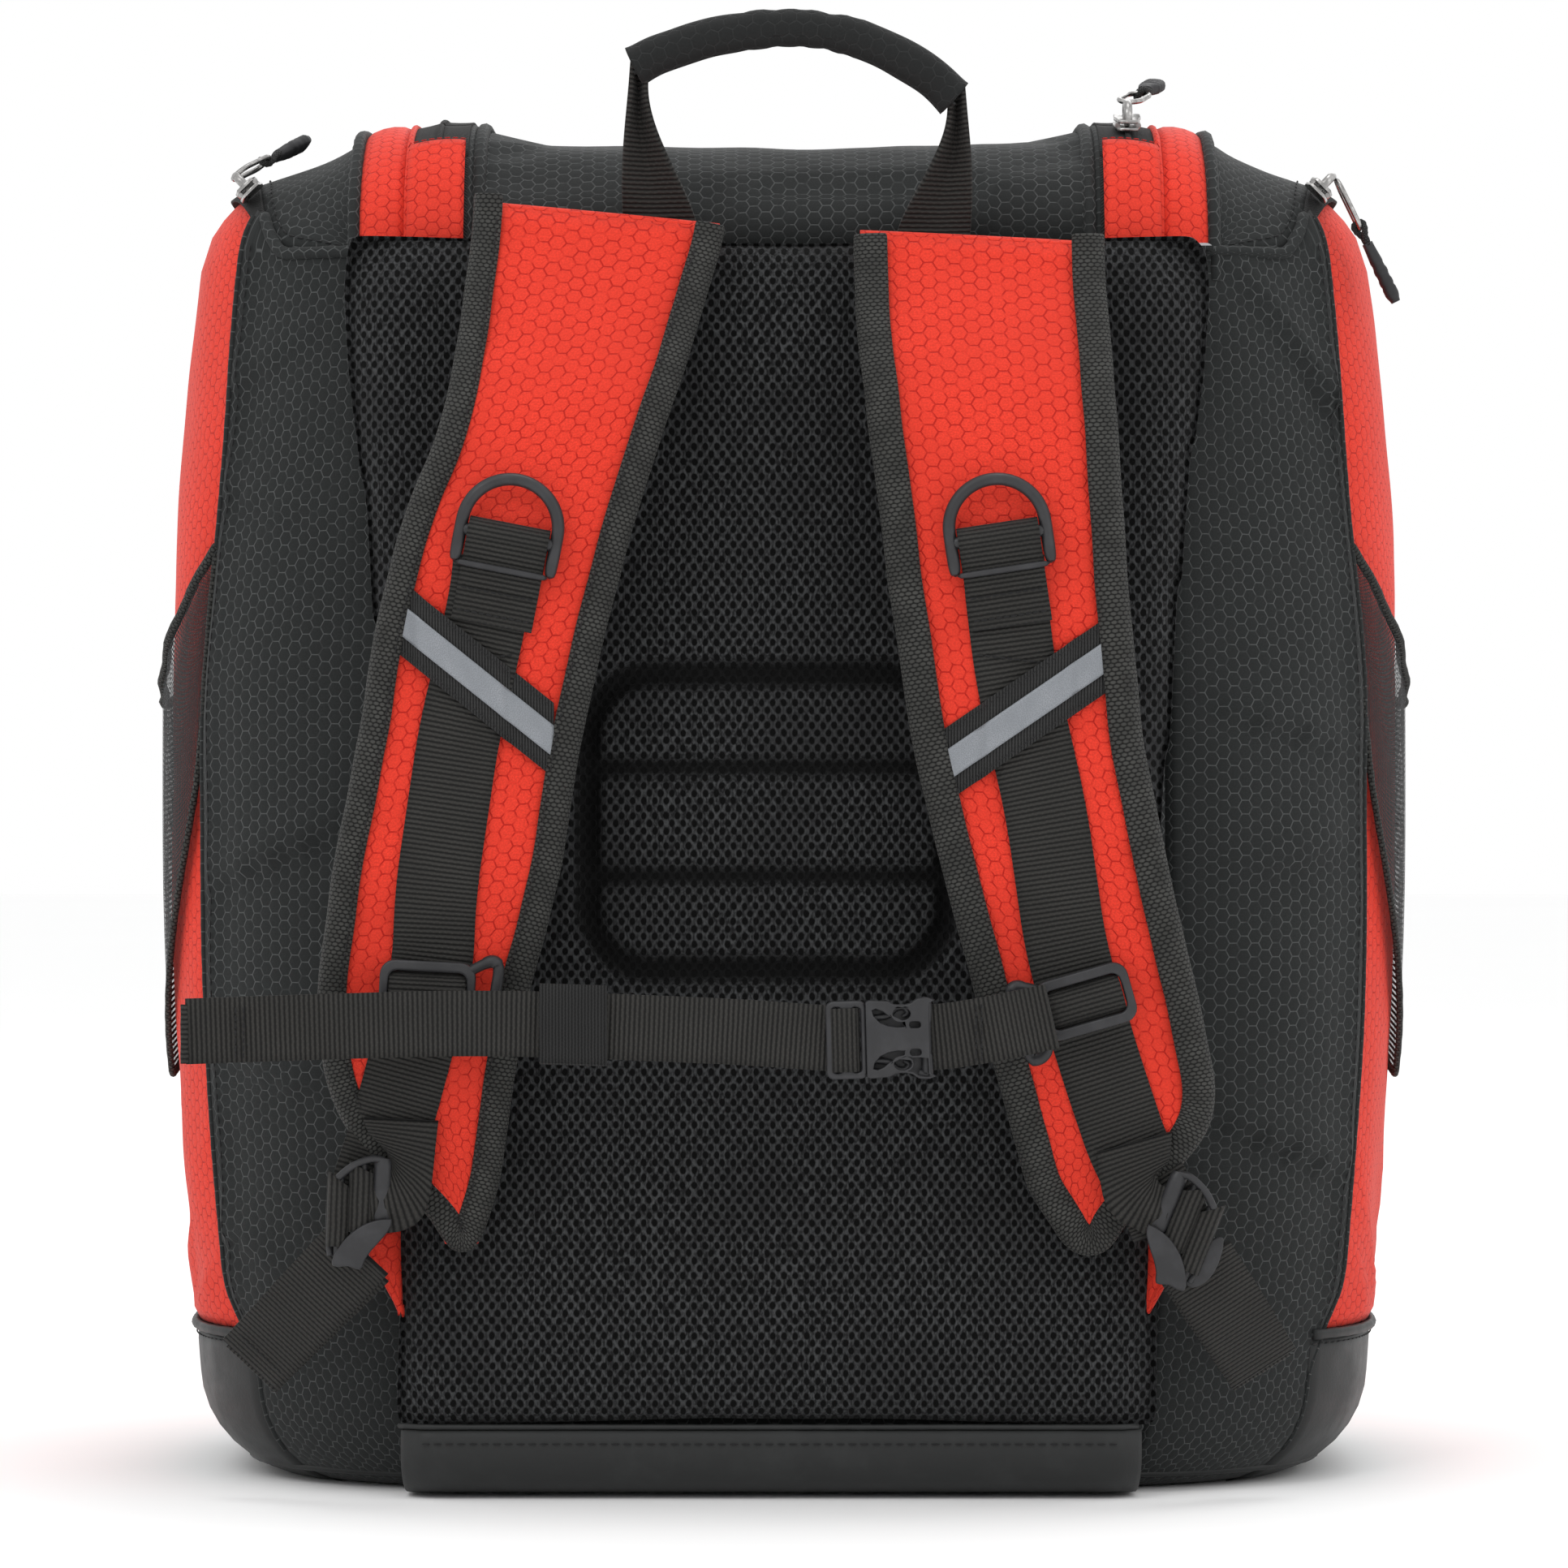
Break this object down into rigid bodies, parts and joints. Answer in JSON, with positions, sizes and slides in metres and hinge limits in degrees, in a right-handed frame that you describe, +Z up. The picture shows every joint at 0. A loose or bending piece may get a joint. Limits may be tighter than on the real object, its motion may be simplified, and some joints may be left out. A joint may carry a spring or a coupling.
{
  "type": "ski boot bag",
  "caption": "Backpack for ski boots with a padded back, shoulder harness, domed lid, side boot doors, mesh pockets and a haul handle.",
  "frame": {"origin": "centre of the base where the bag stands on the ground, midway between the sides", "axes": "+Z up, -Y towards the wearer's back and harness, +Y towards the bag's front panel, +X towards the right-hand side of the harness as seen from the wearer's side"},
  "size_m": [0.4142, 0.368, 0.465],
  "materials": {
    "lining": "matte",
    "air_mesh": "matte",
    "board": "matte",
    "coated_fabric": "satin",
    "black_fabric": "matte",
    "red_fabric": "matte",
    "zip_tape": "matte",
    "pocket_mesh": "matte",
    "nickel": "polished",
    "zip_pull": "matte",
    "webbing": "matte",
    "reflective": "satin",
    "strap_plastic": "satin",
    "elastic": "matte",
    "binding_tape": "matte"
  },
  "bodies": {
    "root": {"back_panel": "lining", "back_pad": "air_mesh", "frame_sheet": "board", "back_base_strip": "coated_fabric", "base_tray": "coated_fabric", "base_board": "board", "rear_panel_left": "black_fabric", "rear_panel_right": "black_fabric", "front_panel": "red_fabric", "front_pocket": "red_fabric", "front_pocket_zip": "zip_tape", "top_gusset_left": "black_fabric", "top_gusset_right": "black_fabric", "top_band_left": "red_fabric", "top_band_right": "red_fabric", "body_zip_tape": "zip_tape", "zip_garage_left": "red_fabric", "zip_garage_right": "red_fabric", "divider_left": "lining", "divider_right": "lining", "lid_back": "black_fabric", "anchor_tab_left": "red_fabric", "anchor_tab_right": "red_fabric"},
    "lid_flap": {"lid": "black_fabric", "lid_zip_tape": "zip_tape"},
    "left_door": {"boot_door_left": "red_fabric", "mesh_pocket_left": "pocket_mesh"},
    "right_door": {"boot_door_right": "red_fabric", "mesh_pocket_right": "pocket_mesh"},
    "main_zip": {"main_slider": "nickel"},
    "main_zip_pull": {"main_pull": "zip_pull"},
    "left_zip": {"side_slider_left": "nickel"},
    "left_zip_pull": {"side_pull_left": "zip_pull"},
    "right_zip": {"side_slider_right": "nickel"},
    "right_zip_pull": {"side_pull_right": "zip_pull"},
    "haul_loop": {"haul_webbing": "webbing", "haul_grip": "black_fabric"},
    "harness": {"shoulder_strap_left": "red_fabric", "shoulder_strap_right": "red_fabric", "strap_webbing_left": "webbing", "strap_webbing_right": "webbing", "reflective_strip_left": "reflective", "reflective_strip_right": "reflective", "lower_webbing_left": "webbing", "lower_webbing_right": "webbing"},
    "left_d_ring": {"d_ring_left": "strap_plastic"},
    "right_d_ring": {"d_ring_right": "strap_plastic"},
    "left_lock": {"ladder_lock_left": "strap_plastic"},
    "right_lock": {"ladder_lock_right": "strap_plastic"},
    "sternum_strap": {"sternum_ring_left": "strap_plastic", "sternum_ring_right": "strap_plastic", "sternum_webbing_right": "webbing", "buckle_socket": "strap_plastic"},
    "sternum_plug": {"buckle_plug": "strap_plastic", "sternum_webbing_left": "webbing", "elastic_keeper": "elastic"}
  },
  "joints": [
    {"name": "lid_hinge", "type": "hinge", "parent": "root", "child": "lid_flap", "pos_m": [0, -0.112, 0.4295], "axis": [1, 0, 0], "range_deg": [0, 100]},
    {"name": "left_door_hinge", "type": "hinge", "parent": "root", "child": "left_door", "pos_m": [-0.19246, 0, 0.052], "axis": [0, -1, 0], "range_deg": [0, 90]},
    {"name": "right_door_hinge", "type": "hinge", "parent": "root", "child": "right_door", "pos_m": [0.19246, 0, 0.052], "axis": [0, 1, 0], "range_deg": [0, 90]},
    {"name": "main_zip_travel", "type": "hinge", "parent": "root", "child": "main_zip", "pos_m": [0, 0, -0.19735], "axis": [-1, 0, 0], "range_deg": [0, 16.65]},
    {"name": "main_pull_swing", "type": "hinge", "parent": "main_zip", "child": "main_zip_pull", "pos_m": [0.10985, -0.09198, 0.44227], "axis": [0.9511, -0.297, -0.0852], "range_deg": [0, 117]},
    {"name": "left_zip_travel", "type": "hinge", "parent": "root", "child": "left_zip", "pos_m": [-0.00716, -0.00126, 0.12653], "axis": [-0.8701, -0.0031, -0.4929], "range_deg": [0, 27]},
    {"name": "left_pull_swing", "type": "hinge", "parent": "left_zip", "child": "left_zip_pull", "pos_m": [-0.17627, -0.08358, 0.41926], "axis": [0.551, -0.6428, 0.5321], "range_deg": [0, 110]},
    {"name": "right_zip_travel", "type": "hinge", "parent": "root", "child": "right_zip", "pos_m": [0.00716, -0.00126, 0.12653], "axis": [-0.8701, 0.0031, 0.4929], "range_deg": [0, 27]},
    {"name": "right_pull_swing", "type": "hinge", "parent": "right_zip", "child": "right_zip_pull", "pos_m": [0.17771, -0.08458, 0.4173], "axis": [0, -1, 0], "range_deg": [0, 110]},
    {"name": "haul_loop_swing", "type": "hinge", "parent": "root", "child": "haul_loop", "pos_m": [0.004, -0.144, 0.399], "axis": [1, 0, 0], "range_deg": [-40, 57]},
    {"name": "harness_swing", "type": "hinge", "parent": "root", "child": "harness", "pos_m": [0, -0.151, 0.402], "axis": [-1, 0, 0], "range_deg": [0, 12]},
    {"name": "left_d_ring_tilt", "type": "hinge", "parent": "harness", "child": "left_d_ring", "pos_m": [-0.0865, -0.19337, 0.2885], "axis": [0.9816, 0, -0.1908], "range_deg": [0, 70]},
    {"name": "right_d_ring_tilt", "type": "hinge", "parent": "harness", "child": "right_d_ring", "pos_m": [0.0673, -0.19337, 0.2885], "axis": [0.989, 0, 0.1478], "range_deg": [0, 70]},
    {"name": "left_lock_tilt", "type": "hinge", "parent": "harness", "child": "left_lock", "pos_m": [-0.12202, -0.17303, 0.09091], "axis": [0.0698, 0, 0.9976], "range_deg": [0, 35]},
    {"name": "right_lock_tilt", "type": "hinge", "parent": "harness", "child": "right_lock", "pos_m": [0.11762, -0.172, 0.08968], "axis": [-0.3746, 0, -0.9272], "range_deg": [0, 35]},
    {"name": "sternum_height", "type": "slide", "parent": "harness", "child": "sternum_strap", "axis": [0, -0.169, 0.9856], "range_m": [-0.012, 0.012]},
    {"name": "sternum_plug_travel", "type": "slide", "parent": "sternum_strap", "child": "sternum_plug", "axis": [-1, 0, 0], "range_m": [0, 0.035]}
  ]
}
